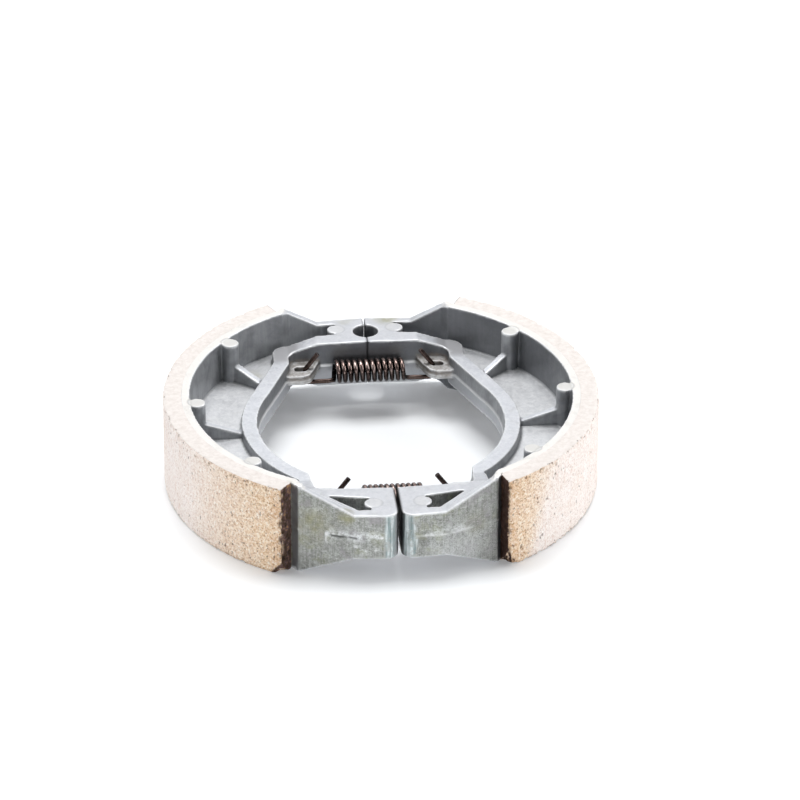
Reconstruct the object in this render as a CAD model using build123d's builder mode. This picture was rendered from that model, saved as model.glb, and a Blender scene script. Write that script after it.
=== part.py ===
"""Pair of drum-brake shoes: two die-cast shoes, their bonded linings and two return springs.

Millimetres, +Z up. The drum axis is the Z axis and the shoes rest on Z = 0. The anchor pin is
towards +Y and the cam towards -Y. The right shoe is drawn, and the left one mirrors it.
"""
import os
from math import cos, pi, radians, sin, tan

from build123d import *

os.makedirs("parts", exist_ok=True)

# ---- Drum, lining and rim ----------------------------------------------------------------
drum_radius = 55.0          # friction face of the lining
shoe_width = 24.0           # lining and rim, along the drum axis
closed_inset = 0.6          # how far each shoe's own centre lies past the drum axis
lining_thickness = 4.6
rim_thickness = 2.4         # rim, front wall and end wall
lining_cam_angle = -58.5    # ends of the lining, from +X about the shoe's centre
lining_pivot_angle = 62.5
lip_height = 1.2            # ridge that the end of the lining butts against
lip_angle = 2.5             # from the lining's end to the top of that ridge

# ---- Web, ring and blocks ----------------------------------------------------------------
web_thickness = 2.4
ring_height = 7.8
block_height = 12.2         # pivot block and cam block
draft_angle = 2.0           # slope of the cast walls away from the parting plane, degrees
ring_centre_x = -3.6
ring_inner_radius = 34.4
ring_thickness = 4.2
ring_pivot_angle = 27.0     # where the ring leaves its arc for the pivot block
ring_cam_angle = -46.5      # and for the cam block
ramp_length = 7.5           # slope from the ring's edge up to a block
neck_slant = 0.9            # fall of a block's wall on its way to the ring
neck_radius = 2.4           # inside corner between that wall and the ring
neck_outer_radius = 3.9
pivot_neck_x = 20.4         # the ring's inner face beside the pivot block
pivot_neck_y = 31.6         # where that face starts
pivot_rib_y = 41.3          # outer face of the rib between the ring and the pivot block
cam_neck_x = 19.2           # the ring's inner face beside the cam block
cam_neck_y = -29.5          # where that face starts
cam_ramp_y = -28.6          # foot of the ramp up to the cam block

# ---- Pivot block -------------------------------------------------------------------------
pivot_y = 43.1
pivot_radius = 3.25         # half-round seat on the anchor pin
pivot_inner_y = 37.4
pivot_back_y = 50.2
pivot_corner = (12.0, 49.3)
seam_gap = 0.5              # between the two shoes beside the anchor pin
opening_angle = 3.0         # how far one shoe swings from the other, degrees

# ---- Cam block ---------------------------------------------------------------------------
cam_gap = 0.7               # between the two cam faces
cam_front_y = -51.5
cam_corner = (11.1, -50.5)
cam_rear_y = -37.3
cam_edge_radius = 3.2
cam_rib = 3.9               # rib behind the cam pocket
cam_nose = 6.9              # solid nose beside the cam face
cam_front_wall = 3.0        # wall before the cam pocket
cam_pocket_bend_x = 9.9
cam_pocket_tip_x = 16.6

# ---- Ejector bosses and gussets ----------------------------------------------------------
boss_radius = 2.15
boss_step = 0.3             # tops of the rim bosses below the rim's edge
boss_angles = (39.0, -1.1, -41.6)
boss_inset = 1.3            # boss centre inside the rim's inner face
pivot_boss = (7.6, 44.6)
cam_boss = (6.1, -44.5)
gusset_angles = boss_angles[:2]
gusset_thickness = 2.0
gusset_outer_rise = 5.3     # above the web at the boss
gusset_inner_rise = 1.1     # above the web at the gusset's inner end
gusset_inner_radius = 34.6

# ---- Return springs and their lugs -------------------------------------------------------
wire_diameter = 1.1
coil_diameter = 5.8         # outside
wire_sides = 6              # the wire is drawn with flat sides and its turns with straight steps
turn_steps = 12
rear_spring_y = 33.1
rear_coil_length = 18.0     # along the wire's centre, first turn to last
rear_turns = 12
rear_slot_x = 17.5
front_spring_y = -31.0
front_coil_length = 14.8
front_turns = 11
front_slot_x = 15.2
slot_length = 3.4           # slot in the lug, along X
slot_width = 2.4
rear_lug_margin = 3.0       # metal between the slot and the lug's free edge
front_lug_margin = 2.1
lug_root = 5.5              # reach of the lug towards the coil: at its block,
lug_waist = 3.6             # beside the slot
lug_shoulder = 2.0          # and at the corner of its free edge
lug_radius = 1.8
hook_clearance = 0.3        # between the wire and the end of the slot that it pulls on
hook_rise = 4.2             # tip of the hook above the lug
hook_lean = 3.5             # tip of the hook back towards the coil
hook_bend = 1.3             # bend radius at the wire's centre

# ---- Values worked out from those above --------------------------------------------------
mid_z = shoe_width / 2
mid_plane = Plane.XY.offset(mid_z)
seat_radius = drum_radius - lining_thickness
rim_inner_radius = seat_radius - rim_thickness
ridge_radius = seat_radius + lip_height
ring_outer_radius = ring_inner_radius + ring_thickness
half_web = web_thickness / 2
half_block = block_height / 2
half_seam = seam_gap / 2
half_cam_gap = cam_gap / 2
ring_top = mid_z + ring_height / 2
block_top = mid_z + half_block
over_centre = -drum_radius / 10    # cuts and ribs run past the seam to here
over_top = shoe_width + rim_thickness


def about_shoe(radius, angle):
    """A point at this radius and angle about the shoe's own centre."""
    return (radius * cos(radians(angle)) - closed_inset, radius * sin(radians(angle)))


def about_ring(radius, angle):
    """A point at this radius and angle about the centre of the ring's arc."""
    return (ring_centre_x + radius * cos(radians(angle)), radius * sin(radians(angle)))


def nearest(sketch, point):
    """The sketch's vertex nearest to a point of the parting plane."""
    return sketch.vertices().sort_by_distance(Vector(*point, mid_z))[0]


def walls(prism):
    """The upright faces of a prism, for its draft."""
    return prism.faces().filter_by(lambda face: abs(face.normal_at().Z) < 0.5)


cam_ridge = about_shoe(ridge_radius, lining_cam_angle - lip_angle)
pivot_ridge = about_shoe(ridge_radius, lining_pivot_angle + lip_angle)
seat_cam_end = about_shoe(seat_radius, lining_cam_angle)
seat_pivot_end = about_shoe(seat_radius, lining_pivot_angle)

# ---- Right shoe: profiles ----------------------------------------------------------------
with BuildSketch(mid_plane) as outline:
    with BuildLine():
        RadiusArc(seat_cam_end, seat_pivot_end, -seat_radius)
        Polyline(seat_pivot_end, pivot_ridge, pivot_corner, (half_seam, pivot_back_y), (half_seam, 0),
                 (half_cam_gap, 0), (half_cam_gap, cam_front_y), cam_corner, cam_ridge, seat_cam_end)
    make_face()
    fillet(nearest(outline, (half_cam_gap, cam_front_y)), radius=cam_edge_radius)

# Inside faces of the rim, the end wall and the front wall, where they meet the web.
web_plane = mid_plane.offset(half_web)
with BuildSketch(web_plane) as inside_walls:
    add(outline.sketch.moved(Location((0, 0, half_web))))
    offset(amount=-rim_thickness, kind=Kind.INTERSECTION, mode=Mode.REPLACE)

# The hub's opening, bounded by the ring and the inner faces of both blocks.
pivot_neck = (pivot_neck_x, pivot_inner_y - neck_slant)
cam_neck = (cam_neck_x, cam_rear_y + neck_slant)
with BuildSketch(mid_plane) as hub_opening:
    with BuildLine():
        ThreePointArc(about_ring(ring_inner_radius, ring_cam_angle), about_ring(ring_inner_radius, 0),
                      about_ring(ring_inner_radius, ring_pivot_angle))
        Polyline(about_ring(ring_inner_radius, ring_pivot_angle), (pivot_neck_x, pivot_neck_y),
                 pivot_neck, (over_centre, pivot_inner_y), (over_centre, cam_rear_y), cam_neck,
                 (cam_neck_x + neck_slant / 2, cam_neck_y), about_ring(ring_inner_radius, ring_cam_angle))
    make_face()
    for corner in (pivot_neck, cam_neck):
        fillet(nearest(hub_opening, corner), radius=neck_radius)

# Everything inside the outer faces of the ring, the pivot block and the cam block.
pivot_rib_x = pivot_neck_x + ring_thickness
cam_rib_x = cam_neck_x + ring_thickness
with BuildSketch(mid_plane) as hub_area:
    with BuildLine():
        ThreePointArc(about_ring(ring_outer_radius, ring_cam_angle), about_ring(ring_outer_radius, 0),
                      about_ring(ring_outer_radius, ring_pivot_angle))
        Polyline(about_ring(ring_outer_radius, ring_pivot_angle), (pivot_rib_x, pivot_neck_y + neck_slant),
                 (pivot_rib_x, pivot_rib_y - neck_slant), (pivot_boss[0], pivot_rib_y + neck_slant),
                 (pivot_boss[0], pivot_back_y), (over_centre, pivot_back_y), (over_centre, cam_front_y),
                 (cam_corner[0], cam_front_y), (cam_rib_x, cam_ridge[1]), (cam_rib_x, cam_neck_y),
                 about_ring(ring_outer_radius, ring_cam_angle))
    make_face()
    fillet(nearest(hub_area, (pivot_rib_x, pivot_rib_y - neck_slant)), radius=neck_outer_radius)

# Triangular pocket of the cam block, between its rib, its front wall and its nose.
cam_pocket_rear_y = cam_rear_y - cam_rib
cam_pocket_front_y = cam_corner[1] + cam_front_wall
with BuildSketch(web_plane) as cam_pocket:
    with BuildLine():
        Polyline((cam_pocket_tip_x, cam_pocket_rear_y + neck_slant), (cam_nose, cam_pocket_rear_y - neck_slant),
                 (cam_nose, cam_pocket_front_y), (cam_pocket_bend_x, cam_pocket_front_y),
                 (cam_pocket_tip_x, cam_pocket_rear_y + neck_slant))
    make_face()

# Seen along Y: the end wall and the front wall fall from the rim's edge to the block's height.
with BuildSketch(Plane.XZ) as end_wall_cut:
    with BuildLine():
        Polyline((over_centre, block_top), (pivot_corner[0], block_top), (pivot_ridge[0], shoe_width),
                 (pivot_ridge[0], over_top), (over_centre, over_top), (over_centre, block_top))
    make_face()
with BuildSketch(Plane.XZ) as front_wall_cut:
    with BuildLine():
        Polyline((over_centre, block_top), (cam_corner[0], block_top), (cam_ridge[0], shoe_width),
                 (cam_ridge[0], over_top), (over_centre, over_top), (over_centre, block_top))
    make_face()

# The ring is lower than the blocks, with a ramp up to each.
with BuildSketch(Plane.YZ) as ring_cut:
    with BuildLine():
        Polyline((cam_ramp_y, ring_top), (pivot_neck_y, ring_top), (pivot_neck_y, over_top),
                 (cam_ramp_y - ramp_length, over_top), (cam_ramp_y - ramp_length, block_top),
                 (cam_ramp_y, ring_top))
    make_face()
with BuildSketch(Plane.XZ.offset(-pivot_neck_y)) as pivot_ramp_cut:
    with BuildLine():
        Polyline((pivot_neck_x, ring_top), (seat_radius, ring_top), (seat_radius, over_top),
                 (pivot_neck_x - ramp_length, over_top), (pivot_neck_x - ramp_length, block_top),
                 (pivot_neck_x, ring_top))
    make_face()

# Lugs for the spring hooks, in the corners between the ring and the two blocks.
lug_places = ((rear_slot_x, rear_spring_y, rear_lug_margin, pivot_rib_x, pivot_inner_y, 1),
              (front_slot_x, front_spring_y, front_lug_margin, cam_rib_x, cam_rear_y, -1))
with BuildSketch(mid_plane) as lugs:
    for slot_x, spring_y, margin, rib_x, block_y, away in lug_places:
        wall_x = rib_x - ring_thickness / 2
        root_y = block_y + away * rim_thickness / 2
        lug_depth = slot_width / 2 + margin
        free_y = spring_y - away * lug_depth
        waist = (slot_x - lug_waist, spring_y)
        shoulder = (slot_x - lug_shoulder, spring_y - away * (lug_depth - lug_radius / 2))
        with BuildLine():
            Polyline((slot_x - lug_root, root_y), waist, shoulder, (slot_x, free_y), (wall_x, free_y),
                     (wall_x, root_y), (slot_x - lug_root, root_y))
        make_face()
        for corner in (waist, shoulder, (slot_x, free_y)):
            fillet(nearest(lugs, corner), radius=lug_radius)
        with Locations((slot_x, spring_y)):
            SlotOverall(slot_length, slot_width, mode=Mode.SUBTRACT)

# The half-round seat, and the seam behind it, which lets the shoes swing open.
seam_back = half_seam + (pivot_back_y - pivot_y) * tan(radians(opening_angle / 2))
with BuildSketch(mid_plane) as pin_seat:
    with Locations((0, pivot_y)):
        Circle(pivot_radius)
    with BuildLine():
        Polyline((0, pivot_y), (half_seam, pivot_y), (seam_back, pivot_back_y), (0, pivot_back_y), (0, pivot_y))
    make_face()

# ---- Right shoe: upper half --------------------------------------------------------------
boss_ring_radius = rim_inner_radius - boss_inset
with BuildPart() as pan_core:
    extrude(inside_walls.sketch, amount=mid_z)
    draft(walls(pan_core), web_plane, -draft_angle)

with BuildPart() as pocket_core:
    extrude(cam_pocket.sketch, amount=mid_z)
    draft(walls(pocket_core), web_plane, -draft_angle)

with BuildPart() as opening_core:
    extrude(hub_opening.sketch, amount=mid_z)
    draft(walls(opening_core), mid_plane, -draft_angle)

# The ring and both blocks, as one rib.
with BuildPart() as hub_rib:
    extrude(hub_area.sketch, amount=half_block)
    draft(walls(hub_rib), mid_plane, draft_angle)
    extrude(ring_cut.sketch, amount=drum_radius, mode=Mode.SUBTRACT)
    extrude(pivot_ramp_cut.sketch, amount=-drum_radius, mode=Mode.SUBTRACT)
    extrude(outline.sketch, amount=mid_z, mode=Mode.INTERSECT)

# The web with the rim and the two walls round it, then the rib, the bosses and the gussets.
with BuildPart() as half_shoe:
    extrude(outline.sketch, amount=mid_z)
    extrude(end_wall_cut.sketch, amount=-drum_radius, mode=Mode.SUBTRACT)
    extrude(front_wall_cut.sketch, amount=drum_radius, mode=Mode.SUBTRACT)
    add(pan_core.part, mode=Mode.SUBTRACT)
    add(hub_rib.part)
    add(pocket_core.part, mode=Mode.SUBTRACT)
    add(opening_core.part, mode=Mode.SUBTRACT)
    with BuildSketch(mid_plane):
        with Locations(*[about_shoe(boss_ring_radius, angle) for angle in boss_angles]):
            Circle(boss_radius)
    extrude(amount=mid_z - boss_step)
    with BuildSketch(mid_plane):
        with Locations(pivot_boss, cam_boss):
            Circle(boss_radius)
    extrude(amount=half_block)
    for angle in gusset_angles:
        inner_end = Vector(*about_shoe(gusset_inner_radius, angle), mid_z)
        along = Vector(*about_shoe(boss_ring_radius, angle), mid_z) - inner_end
        with BuildSketch(Plane(origin=inner_end, x_dir=along, z_dir=along.cross(Vector(0, 0, 1)))):
            with BuildLine():
                Polyline((0, 0), (along.length, 0), (along.length, half_web + gusset_outer_rise),
                         (0, half_web + gusset_inner_rise), (0, 0))
            make_face()
        extrude(amount=gusset_thickness / 2, both=True)
    extrude(lugs.sketch, amount=half_web)
    extrude(pin_seat.sketch, amount=mid_z, mode=Mode.SUBTRACT)

# ---- Both shoes --------------------------------------------------------------------------
with BuildPart() as shoe_right:
    add(half_shoe.part)
    mirror(half_shoe.part, about=mid_plane)
shoe_right.part.label = "shoe_right"
export_step(shoe_right.part, "parts/shoe_right.step")

with BuildPart() as shoe_left:
    add(mirror(shoe_right.part, about=Plane.YZ, mode=Mode.PRIVATE))
shoe_left.part.label = "shoe_left"
export_step(shoe_left.part, "parts/shoe_left.step")

# ---- Linings -----------------------------------------------------------------------------
face_cam_end = about_shoe(drum_radius, lining_cam_angle)
face_pivot_end = about_shoe(drum_radius, lining_pivot_angle)
with BuildPart() as lining_right:
    with BuildSketch():
        with BuildLine():
            RadiusArc(seat_cam_end, seat_pivot_end, -seat_radius)
            Line(seat_pivot_end, face_pivot_end)
            RadiusArc(face_cam_end, face_pivot_end, -drum_radius)
            Line(seat_cam_end, face_cam_end)
        make_face()
    extrude(amount=shoe_width)
lining_right.part.label = "lining_right"
export_step(lining_right.part, "parts/lining_right.step")

with BuildPart() as lining_left:
    add(mirror(lining_right.part, about=Plane.YZ, mode=Mode.PRIVATE))
lining_left.part.label = "lining_left"
export_step(lining_left.part, "parts/lining_left.step")

# ---- Return springs ----------------------------------------------------------------------
wire_radius = wire_diameter / 2
coil_radius = (coil_diameter - wire_diameter) / 2
coil_bottom = mid_z - coil_radius
lug_top = mid_z + half_web


def coil_path(spring_y, coil_length, turns):
    """Corners of the coil's centre line, from its lowest point on the left to that on the right."""
    steps = turns * turn_steps
    turned = [2 * pi * step / turn_steps for step in range(steps + 1)]
    return [(coil_length * (step / steps - 0.5), spring_y + coil_radius * sin(turned[step]),
             mid_z - coil_radius * cos(turned[step])) for step in range(steps + 1)]


def hook_path(side, coil_end, slot_x):
    """Corners of one hook: from the coil's end out under the lug, up its slot and back over the coil."""
    rise_x = slot_x - slot_length / 2 + wire_radius + hook_clearance
    spring_y = coil_end[1]
    return [coil_end, (side * rise_x, spring_y, coil_bottom), (side * rise_x, spring_y, lug_top),
            (side * (rise_x - hook_lean), spring_y, lug_top + hook_rise)]


springs = {"spring_rear": (rear_spring_y, rear_coil_length, rear_turns, rear_slot_x),
           "spring_front": (front_spring_y, front_coil_length, front_turns, front_slot_x)}
for name, (spring_y, coil_length, turns, slot_x) in springs.items():
    with BuildPart() as spring:
        coil = coil_path(spring_y, coil_length, turns)
        with BuildLine() as centre_line:
            Polyline(*coil)
            FilletPolyline(*hook_path(-1, coil[0], slot_x), radius=hook_bend)
            FilletPolyline(*hook_path(1, coil[-1], slot_x), radius=hook_bend)
        wire = centre_line.wires()[0]
        with BuildSketch(Plane(origin=wire @ 0, z_dir=wire % 0)):
            RegularPolygon(wire_radius, wire_sides)
        sweep(path=wire, transition=Transition.RIGHT)
    spring.part.label = name
    export_step(spring.part, f"parts/{name}.step")
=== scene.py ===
# %% [markdown]
# # A set of brake shoes
# Two die-cast aluminium shoes, each with a friction lining bonded to its rim, pivot on one pin.
# Two steel springs pull them together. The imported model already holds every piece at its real
# size, so this lesson only dresses it: finer meshes where the eye comes close, and finishes that
# follow how each surface was made. Lengths below are in millimetres, and MM turns them to metres.

import math

import bmesh
import bpy
import numpy as np
from mathutils import Euler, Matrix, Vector


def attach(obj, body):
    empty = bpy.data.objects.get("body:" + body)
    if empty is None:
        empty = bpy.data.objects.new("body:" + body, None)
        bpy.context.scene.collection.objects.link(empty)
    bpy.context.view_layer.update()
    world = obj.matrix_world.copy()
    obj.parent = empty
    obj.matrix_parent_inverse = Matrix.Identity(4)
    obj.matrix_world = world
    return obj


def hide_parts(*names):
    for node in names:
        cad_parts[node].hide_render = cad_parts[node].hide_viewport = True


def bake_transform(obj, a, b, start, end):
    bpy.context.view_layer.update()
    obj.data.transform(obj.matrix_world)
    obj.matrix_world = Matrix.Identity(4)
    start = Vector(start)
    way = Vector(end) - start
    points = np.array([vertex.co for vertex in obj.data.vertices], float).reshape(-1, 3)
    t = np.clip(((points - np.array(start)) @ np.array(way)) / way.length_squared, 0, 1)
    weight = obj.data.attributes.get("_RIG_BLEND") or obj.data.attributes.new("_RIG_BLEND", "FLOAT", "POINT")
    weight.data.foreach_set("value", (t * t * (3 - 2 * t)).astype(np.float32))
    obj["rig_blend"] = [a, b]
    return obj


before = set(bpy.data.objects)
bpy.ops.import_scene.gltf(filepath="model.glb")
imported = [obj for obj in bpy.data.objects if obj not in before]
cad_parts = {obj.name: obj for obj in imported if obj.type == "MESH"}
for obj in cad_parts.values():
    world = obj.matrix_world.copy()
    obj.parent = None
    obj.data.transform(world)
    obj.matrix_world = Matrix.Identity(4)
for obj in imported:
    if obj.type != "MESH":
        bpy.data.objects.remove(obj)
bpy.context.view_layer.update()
MM = 0.001
print("nodes:", sorted(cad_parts))

# %% [markdown]
# ## Camera
# A long lens far away keeps the two shoes almost free of perspective, as in a catalogue picture.
# The camera is turned first, and then set back along the ray of one pixel, so that the drum's
# axis at mid height falls on that pixel of an 800 pixel frame.

# %% Camera
PICTURE = 800
SENSOR = 36.0
FOCAL_PIXELS = 5360.0
LENS_CENTRE = (400.0, 398.0)
AIM_PIXEL = (381.0, 433.6)
AIM_POINT = Vector((0.0, 0.0, 12.0)) * MM
AIM_DISTANCE = 1343.0 * MM
PITCH, HEADING, ROLL = (math.radians(angle) for angle in (29.13, 5.66, 0.24))

camera = bpy.data.objects.new("camera", bpy.data.cameras.new("camera"))
bpy.context.scene.collection.objects.link(camera)
turn = Euler((0, 0, -HEADING)).to_matrix() @ Euler((math.pi / 2 - PITCH, 0, 0)).to_matrix()
turn = turn @ Euler((0, 0, ROLL)).to_matrix()
ray = Vector((AIM_PIXEL[0] - LENS_CENTRE[0], LENS_CENTRE[1] - AIM_PIXEL[1], -FOCAL_PIXELS)).normalized()
camera.rotation_euler = turn.to_euler()
camera.location = AIM_POINT - turn @ ray * AIM_DISTANCE
camera.data.sensor_width = SENSOR
camera.data.lens = FOCAL_PIXELS * SENSOR / PICTURE
camera.data.shift_y = (LENS_CENTRE[1] - PICTURE / 2) / PICTURE
camera.data.clip_start = 0.05
bpy.context.scene.camera = camera
print("camera at", [round(c / MM, 1) for c in camera.location], "mm")

# %% [markdown]
# ## Nodes and colours
# Every finish is a small node tree. One helper adds a node, sets its inputs and links it, and one
# turns a hex colour, as a paint chart gives it, into the linear values that the shader wants.

# %% Node helper
def linear(code, alpha=1.0):
    """A hex sRGB colour as linear RGBA."""
    channels = [int(code[i:i + 2], 16) / 255 for i in (1, 3, 5)]
    return tuple(c / 12.92 if c <= 0.04045 else ((c + 0.055) / 1.055) ** 2.4 for c in channels) + (alpha,)


def add_node(tree, kind, inputs=None, **settings):
    """A new node with its settings; inputs maps a socket's name or number to a value or an output."""
    node = tree.nodes.new(kind)
    for name, value in settings.items():
        setattr(node, name, value)
    for socket, value in (inputs or {}).items():
        if isinstance(value, bpy.types.NodeSocket):
            tree.links.new(value, node.inputs[socket])
        else:
            node.inputs[socket].default_value = value
    return node


print("half grey is", round(linear("#808080")[0], 3), "in linear light")

# %% [markdown]
# ## Floor and light
# The set lies on a white sweep: a floor that curves up behind it. Its paper is nearly white, so it
# throws light back under the shoes. Rays of the camera and of reflections see it a little
# brighter, which makes it plain white while its shadows stay.

# %% Paper of the sweep
PAPER = "#F3F5F7"
PAPER_LIFT = 0.15


def new_material(name):
    """A named material with an empty node tree, and that tree."""
    material = bpy.data.materials.new(name)
    material.use_nodes = True
    material.node_tree.nodes.clear()
    return material, material.node_tree


def sweep_material():
    """Matt white paper that camera and mirror rays see as plain white."""
    material, tree = new_material("white_paper_sweep")
    paper = add_node(tree, "ShaderNodeBsdfDiffuse", {"Color": linear(PAPER)})
    lift = add_node(tree, "ShaderNodeEmission", {"Color": linear("#FFFFFF"), "Strength": PAPER_LIFT})
    path = add_node(tree, "ShaderNodeLightPath")
    seen = add_node(tree, "ShaderNodeMath", {0: path.outputs["Is Camera Ray"],
                                             1: path.outputs["Is Glossy Ray"]}, operation="MAXIMUM")
    seen = add_node(tree, "ShaderNodeMath", {0: seen.outputs[0],
                                             1: path.outputs["Is Transmission Ray"]}, operation="MAXIMUM")
    both = add_node(tree, "ShaderNodeAddShader", {0: paper.outputs[0], 1: lift.outputs[0]})
    shown = add_node(tree, "ShaderNodeMixShader", {0: seen.outputs[0], 1: paper.outputs[0],
                                                   2: both.outputs[0]})
    add_node(tree, "ShaderNodeOutputMaterial", {"Surface": shown.outputs[0]})
    return material


print("paper:", PAPER, "in linear light:", [round(c, 3) for c in linear(PAPER)[:3]])

# %% Shape of the sweep
SWEEP_WIDTH = 6000 * MM
SWEEP_FRONT = -2500 * MM
SWEEP_BACK = 1500 * MM
SWEEP_RADIUS = 700 * MM
SWEEP_TOP = 2600 * MM
SWEEP_STEPS = 17
FLOOR_DROP = 0.02 * MM


def mesh_object(name, vertices, faces, material):
    """A smooth mesh object at the origin."""
    mesh = bpy.data.meshes.new(name)
    mesh.from_pydata([tuple(v) for v in vertices], [], [tuple(f) for f in faces])
    mesh.validate()
    mesh.polygons.foreach_set("use_smooth", [True] * len(mesh.polygons))
    mesh.materials.append(material)
    piece = bpy.data.objects.new(name, mesh)
    bpy.context.scene.collection.objects.link(piece)
    return piece


bend = [(SWEEP_BACK + SWEEP_RADIUS * math.sin(a), SWEEP_RADIUS * (1 - math.cos(a)) - FLOOR_DROP)
        for a in np.linspace(0, math.pi / 2, SWEEP_STEPS)]
profile = [(SWEEP_FRONT, -FLOOR_DROP)] + bend + [(bend[-1][0], SWEEP_TOP)]
rows = [(side * SWEEP_WIDTH / 2, y, z) for y, z in profile for side in (-1, 1)]
quads = [(2 * i, 2 * i + 1, 2 * i + 3, 2 * i + 2) for i in range(len(profile) - 1)]
mesh_object("white_sweep", rows, quads, sweep_material())
print("sweep quads:", len(quads), "floor at:", -FLOOR_DROP / MM, "mm")

# %% [markdown]
# Soft boxes stand overhead, behind and at both sides, and a long low one stands in front. The
# tops and the outer sides turn pale, and the low one lights the front walls. The overhead box is
# fairly small, so the shadow under the blocks keeps some shape.

# %% Soft boxes and surroundings
SOFT_BOXES = {
    "overhead": ((0, 250, 1100), (750, 550), 10.3),
    "behind": ((0, 1300, 700), (1600, 700), 2.2),
    "left": ((-1100, 50, 420), (700, 700), 4.6),
    "right": ((1100, 50, 420), (700, 700), 7.2),
    "front": ((0, -1500, 270), (1300, 400), 6.9),
}
STUDIO_COLOUR = "#D8DADD"
STUDIO_STRENGTH = 0.20

for name, (place, size, watts) in SOFT_BOXES.items():
    light = bpy.data.lights.new(name, "AREA")
    light.shape, light.energy = "RECTANGLE", watts
    light.size, light.size_y = (length * MM for length in size)
    lamp = bpy.data.objects.new(name, light)
    lamp.location = Vector(place) * MM
    lamp.rotation_euler = (AIM_POINT - lamp.location).to_track_quat("-Z", "Y").to_euler()
    bpy.context.scene.collection.objects.link(lamp)

world = bpy.data.worlds.new("studio")
world.use_nodes = True
bpy.context.scene.world = world
backdrop = world.node_tree.nodes["Background"]
backdrop.inputs["Color"].default_value = linear(STUDIO_COLOUR)
backdrop.inputs["Strength"].default_value = STUDIO_STRENGTH
bpy.context.scene.view_settings.view_transform = "Standard"
print("soft boxes and watts:", {name: box[2] for name, box in SOFT_BOXES.items()})

# %% [markdown]
# ## Fine meshes for the castings and the linings
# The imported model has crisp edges, and a real casting or a moulded lining has none. A copy of the
# model's mesh is merged, covered evenly with small quads by a voxel remesh, and pushed in and out
# a little along its normals, point by point. Then it is smoothed, which rounds every edge, and
# thinned where it is flat. Sculpting would do the same by hand, but could not be run again.

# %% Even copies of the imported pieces
VOXEL = 0.30 * MM
MERGE_DISTANCE = 0.001 * MM


def baked(piece):
    """The mesh of a piece with its modifiers worked out."""
    bpy.context.view_layer.update()
    graph = bpy.context.evaluated_depsgraph_get()
    return bpy.data.meshes.new_from_object(piece.evaluated_get(graph))


def fine_copy(node, name):
    """An evenly meshed copy of a CAD node, at the origin as the node is."""
    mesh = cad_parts[node].data.copy()
    shape = bmesh.new()
    shape.from_mesh(mesh)
    bmesh.ops.remove_doubles(shape, verts=shape.verts, dist=MERGE_DISTANCE)
    shape.to_mesh(mesh)
    shape.free()
    piece = bpy.data.objects.new(name, mesh)
    bpy.context.scene.collection.objects.link(piece)
    remesh = piece.modifiers.new("even quads", "REMESH")
    remesh.mode, remesh.voxel_size = "VOXEL", VOXEL
    mesh = baked(piece)
    piece.modifiers.clear()
    piece.data = mesh
    mesh.name = name
    mesh.materials.clear()
    return piece


# %% [markdown]
# NumPy arrays hold all points of a mesh at once, so a mark on the surface is one line of
# arithmetic. Each function below reads the points, moves them, or looks at their neighbours.

# %% Points of a mesh as arrays
def points_and_normals(mesh):
    """A mesh's points in millimetres and its vertex normals, as two arrays of rows."""
    points = np.empty(len(mesh.vertices) * 3)
    normals = np.empty(len(mesh.vertices) * 3)
    mesh.vertices.foreach_get("co", points)
    mesh.vertex_normals.foreach_get("vector", normals)
    return points.reshape(-1, 3) / MM, normals.reshape(-1, 3)


def place_points(piece, points):
    """Puts the points of a piece at new places in millimetres."""
    piece.data.vertices.foreach_set("co", (points * MM).ravel())
    piece.data.update()


def push(piece, relief):
    """Moves each point along its normal by its relief in millimetres."""
    points, normals = points_and_normals(piece.data)
    place_points(piece, points + normals * relief[:, None])


def edge_ends(mesh):
    """The numbers of the two points that each edge joins, as two arrays."""
    edges = np.empty(len(mesh.edges) * 2, dtype=int)
    mesh.edges.foreach_get("vertices", edges)
    return edges.reshape(-1, 2).T


def paint(mesh, name, values):
    """A named number on every vertex, for a material to read."""
    layer = mesh.attributes.new(name, "FLOAT", "POINT")
    layer.data.foreach_set("value", np.clip(values, 0, 1).astype(np.float32))


print("points of the packed left shoe:", len(points_and_normals(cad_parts["shoe_left"].data)[0]))

# %% Smoothing and grinding
PIECE_TRIANGLES = 185000
SMOOTH_FACTOR = 0.5
JOINT_REACH = 0.7
LEVEL_REACH = 0.5


def soften(piece, rounds):
    """Rounds the edges of a piece and thins its mesh to PIECE_TRIANGLES."""
    smooth = piece.modifiers.new("rounded edges", "SMOOTH")
    smooth.factor, smooth.iterations = SMOOTH_FACTOR, rounds
    thin = piece.modifiers.new("thinner where flat", "DECIMATE")
    thin.ratio = min(1.0, PIECE_TRIANGLES / (2 * len(piece.data.polygons)))
    mesh = baked(piece)
    piece.modifiers.clear()
    piece.data = mesh
    mesh.name = piece.name
    mesh.polygons.foreach_set("use_smooth", [True] * len(mesh.polygons))


def grind_flush(piece, height, seat_radius, centre):
    """Keeps a piece between its two ground sides, and levels both where lining and rim meet."""
    points, _ = points_and_normals(piece.data)
    across = np.hypot(np.abs(points[:, 0]) - centre, points[:, 1]) - seat_radius
    near = np.abs(across) < JOINT_REACH
    points[near & (points[:, 2] > height - LEVEL_REACH), 2] = height
    points[near & (points[:, 2] < LEVEL_REACH), 2] = 0
    points[:, 2] = np.clip(points[:, 2], 0, height)
    place_points(piece, points)


print("triangles a piece:", PIECE_TRIANGLES)

# %% Edges and corners of a mesh
def spread(mesh, values, rounds):
    """Values on the vertices, averaged with their neighbours a few times."""
    first, second = edge_ends(mesh)
    for _ in range(rounds):
        total, count = values.copy(), np.ones(len(values))
        np.add.at(total, first, values[second])
        np.add.at(total, second, values[first])
        np.add.at(count, first, 1)
        np.add.at(count, second, 1)
        values = total / count
    return values


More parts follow.
